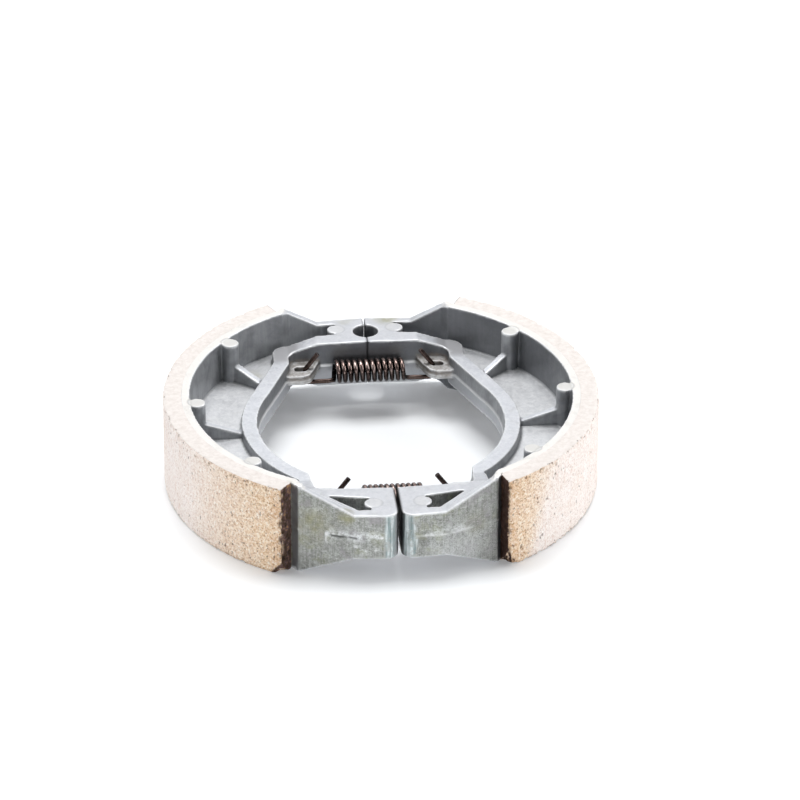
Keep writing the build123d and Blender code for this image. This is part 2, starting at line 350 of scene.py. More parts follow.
def convexity(mesh):
    """How much each vertex stands on an outer edge, up, or in a corner, down, around 0."""
    points, normals = points_and_normals(mesh)
    first, second = edge_ends(mesh)
    step = points[second] - points[first]
    step /= np.maximum(np.linalg.norm(step, axis=1), 1e-6)[:, None]
    total = np.zeros(len(points))
    count = np.zeros(len(points))
    np.add.at(total, first, -(normals[first] * step).sum(axis=1))
    np.add.at(total, second, (normals[second] * step).sum(axis=1))
    np.add.at(count, first, 1)
    np.add.at(count, second, 1)
    return total / np.maximum(count, 1)


bends = convexity(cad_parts["spring_rear"].data)
print("convexity of the packed rear spring:", bends.min().round(2), "to", bends.max().round(2))

# %% [markdown]
# Relief and stains need random values that are smooth in space. A lattice of random numbers, with
# smooth blending between its corners, is the plainest noise there is. Masks are made of two
# shapes: a smooth step and a bell.

# %% Noise and masks
LATTICE = 32


def cloud(points, size, seed):
    """Smooth random values from -1 to 1 over lengths of about size millimetres."""
    lattice = np.random.default_rng(seed).uniform(-1, 1, (LATTICE,) * 3)
    cell = points / size + 3 * LATTICE
    base = np.floor(cell).astype(int)
    step = cell - base
    step = step * step * (3 - 2 * step)
    total = np.zeros(len(points))
    for corner in np.ndindex(2, 2, 2):
        weight = np.prod(np.where(corner, step, 1 - step), axis=1)
        total += weight * lattice[tuple(((base + corner) % LATTICE).T)]
    return total


def ramp(values, low, high):
    """0 below low, 1 above high, and a smooth step between; low may be the larger."""
    share = np.clip((values - low) / (high - low), 0, 1)
    return share * share * (3 - 2 * share)


def bump(values, centre, width):
    """A bell of height 1 around centre."""
    return np.exp(-((values - centre) / width) ** 2)


print("ramp:", ramp(np.linspace(0, 1, 5), 0, 1), "bump:", bump(np.linspace(-2, 2, 5), 0, 1).round(2))

# %% [markdown]
# ## The die-cast shoes
# A shoe is pressure die cast in a two-part die. Where the halves of the die meet, at half height,
# a thin raised line runs around all walls, and the gate where the metal came in was broken off
# one front wall and left a ragged scar. Masks place such marks: each is a number from 0 to 1 on
# every point, worked out from where the point is and where its normal looks.

# %% Places on a casting
MID_HEIGHT = 12.0
SHOE_WIDTH = 24.0
SEAT_RADIUS = 50.4
SHOE_CENTRE = -0.6
BORE = (0.0, 43.1)
BOSS_RADIUS = 2.15
BOSS_CIRCLE = 46.7
BOSS_ANGLES = (39.0, -1.1, -41.6)
BLOCK_BOSSES = ((7.6, 44.6), (6.1, -44.5))


def on_front_wall(points, normals):
    """1 on the outer walls by the cam, 0 elsewhere."""
    return ramp(points[:, 1], -38, -41) * ramp(normals[:, 1], -0.55, -0.75)


def off_boss(points):
    """How far points are from the nearest boss's edge in plan, in millimetres; negative inside."""
    turns = [math.radians(angle) for angle in BOSS_ANGLES]
    rim = [(SHOE_CENTRE + BOSS_CIRCLE * math.cos(a), BOSS_CIRCLE * math.sin(a)) for a in turns]
    away = [np.hypot(np.abs(points[:, 0]) - x, points[:, 1] - y) for x, y in rim + list(BLOCK_BOSSES)]
    return np.min(away, axis=0) - BOSS_RADIUS


def facing_hub(points, normals):
    """1 on the walls of the ring and the blocks that face the hub, 0 elsewhere."""
    radius = np.hypot(points[:, 0], points[:, 1])
    inward = -(normals[:, 0] * points[:, 0] + normals[:, 1] * points[:, 1]) / radius
    return ramp(inward, 0.25, 0.6) * ramp(radius, 42.5, 40.5)


def in_seam(points, normals):
    """1 on the faces that meet beside the anchor pin, 0 elsewhere."""
    close = ramp(np.abs(points[:, 0]), 0.75, 0.5) * ramp(points[:, 1], 35, 36)
    return close * ramp(np.abs(normals[:, 0]), 0.6, 0.85)


print("bosses on a shoe:", len(BOSS_ANGLES) + len(BLOCK_BOSSES))

# %% [markdown]
# The gate's scar is a crust along the parting line with a burr at one end, lumps under it, and a
# thin crease where the metal tore. Each is a bell in height, broken up along its way by noise.

# %% The gate's scar
SCAR = dict(from_x=-18.6, to_x=-3.6)
LUMPS = dict(x=-8.5, length=3.5, below=3.2, height=1.8)


def scarred_part(front, x):
    """1 on the part of the front wall where the gate was, 0 elsewhere."""
    begun = ramp(x, SCAR["from_x"] - 0.5, SCAR["from_x"] + 1)
    return front * begun * ramp(x, SCAR["to_x"], SCAR["to_x"] - 1)


def by_lumps(values, x, z):
    """Values kept only near the lumps under the scar."""
    return (values * bump(z, MID_HEIGHT - LUMPS["below"], LUMPS["height"])
            * bump(x, LUMPS["x"], LUMPS["length"]))


def along_crease(values, points):
    """Values kept only along the crease, and broken up."""
    x = points[:, 0]
    kept = values * ramp(x, -17.5, -16.5) * ramp(x, -10.0, -11.0)
    return kept * ramp(cloud(points, 2.6, 7), -0.45, 0.05)


def gate_scar(points):
    """Relief of the scar in millimetres."""
    x, _, z = points.T
    crust = 0.36 * bump(z, MID_HEIGHT + 0.35 + 0.7 * cloud(points, 2.2, 4), 0.50)
    crust = crust * (0.5 + 0.9 * cloud(points, 0.9, 5))
    lumps = by_lumps(0.25, x, z) * ramp(cloud(points, 1.2, 9), 0.1, 0.7)
    crease = -0.30 * bump(z, MID_HEIGHT - 0.25 + 0.35 * cloud(points, 3.0, 6), 0.20)
    crease = along_crease(crease, points)
    burr = 0.35 * bump(x, SCAR["from_x"] + 0.9 + 0.4 * cloud(points, 1.5, 8), 0.5)
    burr = burr * bump(z, MID_HEIGHT - 1.0, 1.9)
    return crust + crease + burr + lumps


print("scar length (mm):", round(SCAR["to_x"] - SCAR["from_x"], 1))

# %% [markdown]
# The rest of the relief is small: waves of a few hundredths, the parting line, the slightly
# shifted lower die on the walls that face the hub, a groove round each boss, and the closed seam
# beside the anchor pin. The bore and the faces at the gap between the shoes stay clean.

# %% Relief of the castings
UNEVEN = ((0.035, 5.0, 1), (0.020, 1.4, 2))
PARTING = dict(height=0.10, width=0.22, wander=0.10)
DIE_SHIFT = 0.25
SEAM_CLOSING = 0.24
GROOVE = dict(block=0.06, rim=0.06, place=0.15, width=0.22)


def casting_relief(piece):
    """Unevenness, the parting line and the gate scar of a shoe, in millimetres."""
    points, normals = points_and_normals(piece.data)
    x, y, z = points.T
    upright = ramp(np.abs(normals[:, 2]), 0.6, 0.3)
    bored = ramp(np.hypot(x - BORE[0], y - BORE[1]), 4.4, 3.9)
    machined = np.maximum(bored, ramp(np.abs(x), 1.2, 0.8))
    relief = sum(depth * cloud(points, size, seed) for depth, size, seed in UNEVEN)
    wander = PARTING["wander"] * cloud(points, 2.5, 3)
    front = on_front_wall(points, normals)
    parting = PARTING["height"] * (1 + 0.6 * front) * bump(z, MID_HEIGHT + wander, PARTING["width"])
    faded = np.maximum(ramp(np.abs(x), 4.1, 3.8), 0.7 * ramp(np.abs(x), 14, 19))
    parting = parting * (1 - front * faded)
    scarred = scarred_part(front, x)
    relief += upright * (1 - scarred) * parting + scarred * gate_scar(points)
    lower_die = ramp(z, MID_HEIGHT + 0.2, MID_HEIGHT - 0.2)
    relief += DIE_SHIFT * facing_hub(points, normals) * upright * lower_die
    groove = GROOVE["block"] * ramp(z, 17.5, 17.8) + GROOVE["rim"] * ramp(z, 19, 22)
    around = bump(off_boss(points), GROOVE["place"], GROOVE["width"])
    relief -= groove * around * ramp(normals[:, 2], 0.6, 0.9)
    return relief * (1 - machined) + SEAM_CLOSING * in_seam(points, normals)


castings = {}
for side in ("left", "right"):
    piece = fine_copy("shoe_" + side, "casting_" + side)
    push(piece, casting_relief(piece))
    soften(piece, 1)
    grind_flush(piece, SHOE_WIDTH, SEAT_RADIUS, SHOE_CENTRE)
    castings[side] = piece
    print(piece.name, "triangles:", sum(len(p.vertices) - 2 for p in piece.data.polygons))

# %% [markdown]
# ## The linings
# A lining is moulded from a resin-bonded compound, sawn off at its ends and ground to the drum's
# radius. Places on it are easiest to tell by radius and angle about its own shoe's centre. The
# sawn end at the cam leans a little, and the right lining's lies nearer the cam.

# %% Places on a lining
DRUM_RADIUS = 55.0
CAM_END = -58.5
PIVOT_END = 62.5
END_SHIFT = dict(left=0.0, right=-0.9)
END_LEAN = dict(left=0.5, right=-1.0)


def around_drum(points):
    """Radius and angle of points about their own shoe's centre; 0 degrees is straight out."""
    out, y = np.abs(points[:, 0]) - SHOE_CENTRE, points[:, 1]
    return np.hypot(out, y), np.degrees(np.arctan2(y, out))


def faces_of_lining(points, normals):
    """How much each vertex belongs to the ground face and to a sawn end, from 0 to 1."""
    _, angle = around_drum(points)
    a = np.radians(angle)
    out = np.abs(normals[:, 0]) * np.sign(points[:, 0] * normals[:, 0])
    radial = np.cos(a) * out + np.sin(a) * normals[:, 1]
    along = -np.sin(a) * out + np.cos(a) * normals[:, 1]
    return ramp(radial, 0.5, 0.8), ramp(np.abs(along), 0.5, 0.8)


def moved_end(radius, side):
    """How far the sawn end at the cam is off its square place at a radius, in millimetres."""
    share = np.clip((radius - SEAT_RADIUS) / (DRUM_RADIUS - SEAT_RADIUS), 0, 1)
    return END_SHIFT[side] + END_LEAN[side] * share


def from_end(points, side):
    """How far points lie inside the sawn end at the cam, in millimetres along the arc."""
    radius, angle = around_drum(points)
    return np.radians(angle - CAM_END) * DRUM_RADIUS - moved_end(radius, side)


print("lining arc (mm):", round(math.radians(PIVOT_END - CAM_END) * DRUM_RADIUS, 1))

# %% [markdown]
# The low corner of each lining at the cam is broken off. Every point outside a sloping plane is
# moved straight back onto it, and noise roughens the plane. CHIP_SQUARED is the squared length of
# the plane's own direction: 1 along the drum, 0.9 up and 0.8 in.

# %% Sawn ends and chipped corners
CHIP = dict(left=2.9, right=3.3)
CHIP_SLOPE = dict(up=0.9, out=0.8)
CHIP_SQUARED = 2.45
LEAN_REACH = 4


def directions(points):
    """Unit vectors along the drum and straight out from it, at each point."""
    _, angle = around_drum(points)
    a, hand = np.radians(angle), np.sign(points[:, 0])
    tangent = np.stack([-np.sin(a) * hand, np.cos(a), 0 * a], axis=1)
    radial = np.stack([np.cos(a) * hand, np.sin(a), 0 * a], axis=1)
    return tangent, radial


def lean_end(piece, side):
    """Moves and leans the sawn end at the cam; the saw's cut is not quite radial."""
    points, _ = points_and_normals(piece.data)
    radius, angle = around_drum(points)
    near = ramp(np.radians(angle - CAM_END) * DRUM_RADIUS, LEAN_REACH, 0)
    tangent, _ = directions(points)
    place_points(piece, points + (near * moved_end(radius, side))[:, None] * tangent)


def chip_slope(points, side):
    """How far points lie from the low outer corner at the cam, up the chip's slope."""
    radius, _ = around_drum(points)
    return (from_end(points, side) + CHIP_SLOPE["up"] * points[:, 2]
            + CHIP_SLOPE["out"] * (DRUM_RADIUS - radius))


def break_corner(piece, side):
    """Flattens the low outer corner at the cam end on a rough slope, as a chip does."""
    points, _ = points_and_normals(piece.data)
    rough = CHIP[side] + 0.6 * cloud(points, 1.2, 21)
    depth = np.maximum(rough - chip_slope(points, side), 0) / CHIP_SQUARED
    tangent, radial = directions(points)
    upward = np.array([0.0, 0.0, 1.0])
    inwards = tangent + CHIP_SLOPE["up"] * upward - CHIP_SLOPE["out"] * radial
    place_points(piece, points + depth[:, None] * inwards)


print("chips (mm):", CHIP)

# %% [markdown]
# Grains fell out of the ground face and left small pores, more of them where the lining works
# most. The edges are worn, and the edge at the cam is ragged.

# %% Relief of the linings
PORE_DEPTH = 0.22


def lining_relief(piece, side):
    """Grain, pores and worn edges of a lining, in millimetres."""
    points, normals = points_and_normals(piece.data)
    radius, angle = around_drum(points)
    inside = from_end(points, side)
    ground, sawn = faces_of_lining(points, normals)
    relief = 0.03 * cloud(points, 2.2, 11) + 0.03 * cloud(points, 0.7, 12)
    tired = ramp(angle, -30, CAM_END)
    pores = ramp(cloud(points, 0.8, 13), 0.74 - 0.12 * tired, 0.92 - 0.12 * tired)
    relief -= PORE_DEPTH * pores * ground
    relief += sawn * (0.22 * cloud(points, 1.8, 14) + 0.20 * cloud(points, 0.8, 15) - 0.15)
    rim = np.maximum(ramp(points[:, 2], 22.9, 24), ramp(points[:, 2], 1.1, 0))
    rim = np.maximum(rim, np.maximum(ramp(inside, 1.3, 0), ramp(angle, PIVOT_END - 1.4, PIVOT_END)))
    worn = rim * ramp(radius, DRUM_RADIUS - 0.9, DRUM_RADIUS - 0.1)
    relief -= worn * (0.10 + 0.38 * ramp(cloud(points, 1.3, 16), 0.1, 0.7))
    ragged = ramp(inside, 1.3, 0.2) * ramp(radius, DRUM_RADIUS - 1.4, DRUM_RADIUS - 0.4)
    torn_off = 0.15 + 0.45 * ramp(cloud(points, 1.7, 17), -0.3, 0.5) + 0.25 * cloud(points, 0.8, 18)
    relief -= ragged * torn_off
    return relief


linings = {}
for side in ("left", "right"):
    piece = fine_copy("lining_" + side, "friction_lining_" + side)
    lean_end(piece, side)
    break_corner(piece, side)
    push(piece, lining_relief(piece, side))
    soften(piece, 1)
    grind_flush(piece, SHOE_WIDTH, SEAT_RADIUS, SHOE_CENTRE)
    linings[side] = piece
    print(piece.name, "triangles:", sum(len(p.vertices) - 2 for p in piece.data.polygons))

# %% [markdown]
# ## The springs
# Each spring is one wire: a close coil, and at each end a hook that runs out flat, turns up
# through the slot of a lug and leans back over it. Its centre line is a row of points: the coil
# is a helix, and a hook is a few straight runs whose corners become arcs.

# %% Centre lines of the springs
AXIS_HEIGHT = 12.0
WIRE = 1.2
COIL = 6.1
HOOK_RISE = (13.2, 17.4)
HOOK_LEAN = 3.5
HOOK_BEND = 1.3
RUN_OUT = 1.5
RUN_DROP = 0.5
STEPS_A_BEND = 7
STEPS_A_TURN = 28
SPRINGS = {
    "rear": dict(y=33.1, length=18.0, turns=12, rise_x=16.65),
    "front": dict(y=-31.0, length=14.8, turns=11, rise_x=14.35),
}


def rounded(path, radius):
    """A path of straight runs with its corners turned into arcs."""
    points = [path[0]]
    for before, corner, after in zip(path, path[1:], path[2:]):
        to_before, to_after = (before - corner).normalized(), (after - corner).normalized()
        half = to_before.angle(to_after) / 2
        reach = radius / math.tan(half)
        centre = corner + (to_before + to_after).normalized() * radius / math.sin(half)
        start, end = corner + to_before * reach - centre, corner + to_after * reach - centre
        points += [centre + start.slerp(end, i / STEPS_A_BEND) for i in range(STEPS_A_BEND + 1)]
    return points + [path[-1]]


def hook_points(side, y, length, rise_x, low):
    """The centre line of the hook on a side, from the coil's end to the cut tip."""
    end, drop = side * length / 2, low - RUN_DROP
    path = [Vector((end, y, low)), Vector((side * (length / 2 + RUN_OUT), y, drop)),
            Vector((side * rise_x, y, drop)), Vector((side * rise_x, y, HOOK_RISE[0])),
            Vector((side * (rise_x - HOOK_LEAN), y, HOOK_RISE[1]))]
    return rounded(path, HOOK_BEND)


def wire_points(y, length, turns, rise_x):
    """The centre line of a spring from hook tip to hook tip, in millimetres."""
    radius = (COIL - WIRE) / 2
    hooks = {side: hook_points(side, y, length, rise_x, AXIS_HEIGHT - radius) for side in (-1, 1)}
    steps = turns * STEPS_A_TURN
    coil = []
    for i in range(1, steps):
        angle = 2 * math.pi * i / STEPS_A_TURN
        coil.append(Vector((-length / 2 + length * i / steps, y + radius * math.sin(angle),
                            AXIS_HEIGHT - radius * math.cos(angle))))
    return hooks[-1][::-1] + coil + hooks[1]


for name, sizes in SPRINGS.items():
    print(name, "spring:", sizes["turns"], "turns,", len(wire_points(**sizes)), "points")

# %% [markdown]
# The wire follows its centre line, which is what Geometry Nodes are good at: a small tree sweeps
# a circle along a curve and closes its two cut ends. The circle has enough sides to look round
# once it is shaded smooth.

# %% Wire along a path
SECTION_SIDES = 14
WIRE_INPUTS = {"Centre line": "Geometry", "Wire radius": "Float", "Section sides": "Int",
               "Finish": "Material"}


def poly_curve(name, points):
    """An open curve object through points given in millimetres."""
    curve = bpy.data.curves.new(name, "CURVE")
    curve.dimensions = "3D"
    spline = curve.splines.new("POLY")
    spline.points.add(len(points) - 1)
    for point, place in zip(spline.points, points):
        point.co = (*(place * MM), 1.0)
    piece = bpy.data.objects.new(name, curve)
    bpy.context.scene.collection.objects.link(piece)
    return piece


def wire_tree():
    """Geometry Nodes that sweep a round wire along a curve and close its cut ends."""
    tree = bpy.data.node_groups.new("wire_along_path", "GeometryNodeTree")
    for name, kind in WIRE_INPUTS.items():
        tree.interface.new_socket(name, in_out="INPUT", socket_type="NodeSocket" + kind)
    tree.interface.new_socket("Wire", in_out="OUTPUT", socket_type="NodeSocketGeometry")
    given = add_node(tree, "NodeGroupInput").outputs
    section = add_node(tree, "GeometryNodeCurvePrimitiveCircle",
                       {"Radius": given["Wire radius"], "Resolution": given["Section sides"]})
    swept = add_node(tree, "GeometryNodeCurveToMesh",
                     {"Curve": given["Centre line"], "Profile Curve": section.outputs["Curve"],
                      "Fill Caps": True})
    smooth = add_node(tree, "GeometryNodeSetShadeSmooth", {"Geometry": swept.outputs["Mesh"]})
    real = add_node(tree, "GeometryNodeRealizeInstances", {"Geometry": smooth.outputs["Geometry"]})
    dressed = add_node(tree, "GeometryNodeSetMaterial",
                       {"Geometry": real.outputs["Geometry"], "Material": given["Finish"]})
    add_node(tree, "NodeGroupOutput", {"Wire": dressed.outputs["Geometry"]})
    return tree


def set_input(modifier, name, value):
    """Sets a modifier's input, found by its name and set by its identifier."""
    for item in modifier.node_group.interface.items_tree:
        if item.name == name and item.in_out == "INPUT":
            modifier[item.identifier] = value


wire_nodes = wire_tree()
print("wire tree:", len(wire_nodes.nodes), "nodes")

# %% [markdown]
# ## Where each finish, painted highlight and painted shade of the casting shows
# Die-cast aluminium is one metal with several skins. Faces that look up are smooth and pale, and
# the drawn walls are duller and streaked; the pale tops are partly painted light from above, and
# the darker walls partly painted shade. Edges are worn and painted bright as highlights, and
# painted shade sits in corners, in the crease beside the gate, in the gap and in the seam. Numbers
# painted on the vertices tell the material where each is. The two shoes are not worn alike, and they
# take painted shade and highlights by different amounts; what differs between them stands in tables first.

# %% What differs between the shoes
STAINS = {
    "left": (((-13.3, -49.4, 17.5), 2.6, 0.9), ((-21.0, -46.5, 14.0), 6.5, 0.5),
             ((-30.2, 31.0, 13.5), 3.2, 0.5), ((-27.0, -43.5, 24.0), 1.8, 0.8),
             ((-5.0, 49.5, 18.0), 3.5, 0.3)),
    "right": (((5.5, 49.8, 18.0), 4.5, 0.8), ((19.0, -48.0, 13.0), 4.0, 0.25),
              ((13.0, 33.0, 12.5), 4.5, 0.35)),
}
# The wall and lip amounts below are painted shade, and the gap edge and front line painted highlights.
RIM_WALL_SHADE = {"left": (0.0, 0.18), "right": (0.45, 0.42)}
HUB_WALL_SHADE = {"left": 0.75, "right": 0.0}
GAP_GRIME = {"left": 0.0, "right": 0.22}
GAP_RAGGED = {"left": 0.15, "right": 0.7}
GAP_EDGE_HIGHLIGHT = {"left": 0.9, "right": 0.2}
FRONT_LINE = {"left": 0.35, "right": 1.0}
LIP_SHADE = {"left": 0.1, "right": 0.85}
print("stains:", {side: len(spots) for side, spots in STAINS.items()})

# %% [markdown]
# The gate's scar shows bright torn metal, and so does a fainter stretch of the other front wall,
# which is scoured below it. Bosses are rubbed on top, and painted shade lies in the groove around them.

# %% Masks of the scar, the gap and the bosses
def scar_mask(points, front):
    """Bright torn metal on the scar, on its lumps, and on a stretch of the right front wall."""
    x, _, z = points.T
    scarred = scarred_part(front, x)
    on_burr = scarred * bump(x, SCAR["from_x"] + 0.9, 0.8) * bump(z, 10.5, 2.2)
    torn = scarred * bump(z, MID_HEIGHT + 0.2, 1.1) + on_burr
    torn += 0.6 * front * bump(z, MID_HEIGHT + 0.6, 1.3) * ramp(x, 6, 8) * ramp(x, 19, 15)
    torn += by_lumps(0.6 * front, x, z) * ramp(cloud(points, 1.2, 9), 0.0, 0.5)
    return torn * ramp(cloud(points, 1.1, 32), -0.25, 0.25)


def scoured_mask(points, front):
    """The lower part of the right front wall, scoured pale."""
    x, _, z = points.T
    zone = front * ramp(x, 5, 9) * ramp(x, 24, 17) * ramp(z, 12.0, 9.5)
    return zone * (0.7 + 0.5 * cloud(points, 2.5, 38))


def gap_mask(points, upright, side):
    """The ground strip on each front wall beside the gap, ragged at its outer edge."""
    from_middle = np.abs(points[:, 0])
    worn_to = 3.8 + GAP_RAGGED[side] * cloud(points, 1.6, 37)
    strip = ramp(from_middle - worn_to, 0.2, -0.2) * ramp(points[:, 1], -47.5, -48.5)
    return strip * ramp(from_middle, 0.45, 0.75) * upright


def boss_masks(points, upward):
    """The rubbed tops of the bosses, and the painted shade in the groove around them."""
    z = points[:, 2]
    high = upward * ramp(z, 17.5, 17.8)
    boss = ramp(off_boss(points), 0.1, -0.15) * high * (0.25 + 0.75 * ramp(z, 19, 22))
    boss_groove_shade = bump(off_boss(points), GROOVE["place"], GROOVE["width"]) * high
    return boss, boss_groove_shade * (0.5 + 0.5 * ramp(z, 19, 22))


def stain_mask(points, side):
    """Round olive stains with ragged edges."""
    stain = np.zeros(len(points))
    for place, size, strength in STAINS[side]:
        away = np.linalg.norm(points - np.array(place), axis=1)
        spot = strength * ramp(away, size * 1.2, size * 0.3)
        stain = np.maximum(stain, spot * (0.55 + 0.45 * cloud(points, 1.6, 33)))
    return stain


for side, piece in castings.items():
    stained = stain_mask(points_and_normals(piece.data)[0], side) > 0.1
    print(side, "points in stains:", int(stained.sum()))

# %% [markdown]
# Walls under the rim, on the wing by the anchor pin, and above the parting line towards the hub are
# painted darker than the rest as shade. The parting line is painted bright as a highlight, whole on
# walls that face the hub, and broken elsewhere.

# %% Masks of the walls
def shaded_mask(points, normals, hub, upright, side):
    """Painted shade on walls: under the rim, on the wing by the anchor pin, and above the parting line."""
    x, y, z = points.T
    radius, _ = around_drum(points)
    rim_wall = ramp(radius, 45.0, 45.8) * ramp(radius, 49.0, 48.4) * upright
    wing = ramp(radius, 42.4, 43.0) * ramp(y, 34, 37) * ramp(np.abs(x), 9, 11)
    wing = wing * ramp(normals[:, 1], -0.1, -0.4)
    rim_wall = np.maximum(rim_wall, wing * upright)
    darker, darker_behind = RIM_WALL_SHADE[side]
    shade = rim_wall * (darker + darker_behind * ramp(y, 5, 30)) * (0.85 + 0.3 * cloud(points, 6.0, 35))
    upper_hub = hub * ramp(z, MID_HEIGHT - 0.2, MID_HEIGHT + 0.1)
    return np.maximum(upper_hub * np.maximum(ramp(y, 22, 34), HUB_WALL_SHADE[side]), shade)


def parting_highlight_mask(points, upright, front, hub, by_gap, side):
    """The parting line's painted highlight, whole towards the hub and broken elsewhere."""
    x, _, z = points.T
    line = bump(z, MID_HEIGHT + PARTING["wander"] * cloud(points, 2.5, 3), 0.32)
    line = line * upright * (1 - scarred_part(front, x))
    broken = 0.45 + 0.55 * cloud(points, 1.5, 34)
    on_front = FRONT_LINE[side] * front * (0.1 + 0.9 * broken) * ramp(np.abs(x), 19, 14)
    return line * (1 - by_gap) * np.maximum(hub, broken * 0.3 + on_front)


def oily_mask(points):
    """The oily band on the walls by the rear spring's lug."""
    x, y, z = points.T
    at_lug = ramp(np.abs(x), 12.0, 13.0) * ramp(np.abs(x), 22.0, 20.0)
    at_lug = at_lug * ramp(y, 26.5, 28) * ramp(y, 38, 37)
    return at_lug * ramp(z, 14.5, 13.6) * ramp(z, 9.5, 10.5)


print("rim walls shaded by:", RIM_WALL_SHADE)

# %% [markdown]
# Edges that stand out are worn bright and painted brighter still as highlights. Painted shade lies
# in corners, in the crease, in the gap and the seam, round the bosses and on the end of the rim, its
# lip; grime lies on the ground strip, and a patch on the right front wall is darker.

# %% Masks of edges and corners
def uneven(points):
    """Soft patches from 0 to 1."""
    return 0.5 + 0.5 * cloud(points, 2.0, 31)


def rubbed_and_highlight_mask(points, bend, by_gap, side):
    """Outer edges worn and painted bright as highlights, but not where the seam closes."""
    from_middle = np.abs(points[:, 0])
    seam_edge = ramp(from_middle, 0.9, 0.5) * ramp(points[:, 1], 34, 35)
    # painted highlight on the edges beside the gap
    edge = GAP_EDGE_HIGHLIGHT[side] * by_gap * bump(from_middle, 0.95, 0.35)
    # convex edges are worn and also painted bright as a highlight
    rubbed = ramp(bend, 0.02, 0.12) * (1 - seam_edge) + edge
    return rubbed * (0.55 + 0.45 * uneven(points))


def grime_and_shade_mask(points, bend, front, upright, by_gap, boss_groove_shade, side):
    """Painted shade in corners, crease, gap, seam, boss grooves and lip; grime on the strip, a darker patch.
    """
    x, y, z = points.T
    out, turn = around_drum(points)
    # painted shade: corners, crease, gap, seam, boss groove and lip; grime: the smear on the strip; the
    # patch is darker
    corners = ramp(-bend, 0.03, 0.14) * 0.55 * ramp(z, 23.4, 22.6)
    crease = bump(z, MID_HEIGHT - 0.25 + 0.35 * cloud(points, 3.0, 6), 0.30)
    crease = along_crease(scarred_part(front, x) * crease, points)
    gap = ramp(np.abs(x), 0.85, 0.6) * ramp(y, -37, -38)
    seam = 0.5 * ramp(np.abs(x), 0.35, 0.15) * ramp(y, 34, 35)
    patch = front * ramp(x, 4.2, 4.5) * ramp(x, 7.6, 7.3) * ramp(z, 9.0, 9.4) * ramp(z, 12.0, 11.8)
    smeared = GAP_GRIME[side] * by_gap * (1 + 0.6 * cloud(points, 1.5, 36))
    lip = LIP_SHADE[side] * ramp(out, 47.6, 48.2) * ramp(turn, CAM_END + 0.8, CAM_END + 0.2)
    return np.maximum.reduce([corners, crease, gap, seam, 0.35 * boss_groove_shade, 0.5 * patch * uneven(points),
                              smeared, lip * upright * (1 - front)])


print("grime on the lip:", LIP_SHADE)

# %% Painted masks of the castings
def paint_casting(piece, side):
    """Paints all masks of a casting on its vertices."""
    points, normals = points_and_normals(piece.data)
    _, y, z = points.T
    upright = ramp(np.abs(normals[:, 2]), 0.75, 0.35)
    upward = ramp(normals[:, 2], 0.6, 0.9)
    bend = spread(piece.data, convexity(piece.data), 1)
    front = on_front_wall(points, normals)
    hub = facing_hub(points, normals) * upright
    by_gap = gap_mask(points, upright, side)
    boss, boss_groove_shade = boss_masks(points, upward)
    # darker tops: the rear rib's top by the anchor pin, low between higher walls, is painted shade; tops at
    # 17.5 to 19.5 mm are a little darker
    dull = 0.28 * ramp(z, 17.5, 17.9) * ramp(z, 19.5, 18.5)
    dull = dull + ramp(z, 15, 15.6) * ramp(z, 17, 16.4) * ramp(y, 30, 34)
    masks = {
        "upright": upright,
        "rubbed": rubbed_and_highlight_mask(points, bend, by_gap, side),
        "grime_and_shade": grime_and_shade_mask(points, bend, front, upright, by_gap, boss_groove_shade, side),
        "parting": parting_highlight_mask(points, upright, front, hub, by_gap, side),
        "oily": oily_mask(points),
        "scoured": scoured_mask(points, front),
        # painted light: the lower half of the walls that face the hub is painted lighter, as the white floor
        # lights it
        "lit_lower_wall": hub * ramp(z, MID_HEIGHT + 0.1, MID_HEIGHT - 0.2),
        "shaded_wall": shaded_mask(points, normals, hub, upright, side),
        "darker_top": upward * dull,
        "web": upward * ramp(z, 15.0, 14.2),
        "rim_top": upward * ramp(z, 23.0, 23.6) * ramp(off_boss(points), -0.1, 0.2),
        "scar": scar_mask(points, front),
        "stain": stain_mask(points, side),
        "ground": by_gap,
        "boss": boss,
        "outer_front": front,
    }
    for name, values in masks.items():
        paint(piece.data, name, values)


for side, piece in castings.items():
    paint_casting(piece, side)
print("painted:", [layer.name for layer in castings["left"].data.attributes if layer.data_type == "FLOAT"])

# %% [markdown]
# ## Die-cast aluminium
# The metal is grey with a fine orange-peel skin of about 0.5 mm, cloudy patches of a few
# millimetres, and upright draw marks on its walls. It is not polished, so its reflections are
# broad. Each pattern is noise on Object coordinates, with its scale worked out from its real size.

# %% Material helpers
def scale_of(size):
    """Noise scale on Object coordinates for a pattern of this size in millimetres."""
    return 1.0 / (size * MM)


def noise(tree, where, size, detail=4.0, roughness=0.55, distortion=0.0):
    """The value output of noise of a size in millimetres."""
    node = add_node(tree, "ShaderNodeTexNoise", {"Vector": where, "Scale": scale_of(size), "Detail": detail,
                                                 "Roughness": roughness, "Distortion": distortion})
    return node.outputs["Fac"]


def stretched(tree, where, along_z):
    """Coordinates that draw a pattern out along Z by this many times."""
    scale = (1.0, 1.0, 1.0 / along_z)
    return add_node(tree, "ShaderNodeMapping", {"Vector": where, "Scale": scale}).outputs[0]


def colours(tree, value, *stops):
    """A colour ramp; stops are (position, hex colour)."""
    node = add_node(tree, "ShaderNodeValToRGB", {"Fac": value})
    steps = node.color_ramp.elements
    while len(steps) < len(stops):
        steps.new(0.5)
    for step, (position, code) in zip(steps, stops):
        step.position, step.color = position, linear(code)
    return node.outputs["Color"]


def levels(tree, value, low, high, to_low=0.0, to_high=1.0):
    """A value taken from low..high to to_low..to_high, kept inside."""
    return add_node(tree, "ShaderNodeMapRange", {"Value": value, "From Min": low, "From Max": high,
                                                 "To Min": to_low, "To Max": to_high}).outputs["Result"]


def product(tree, first, second):
    """Two values multiplied."""
    return add_node(tree, "ShaderNodeMath", {0: first, 1: second}, operation="MULTIPLY").outputs[0]


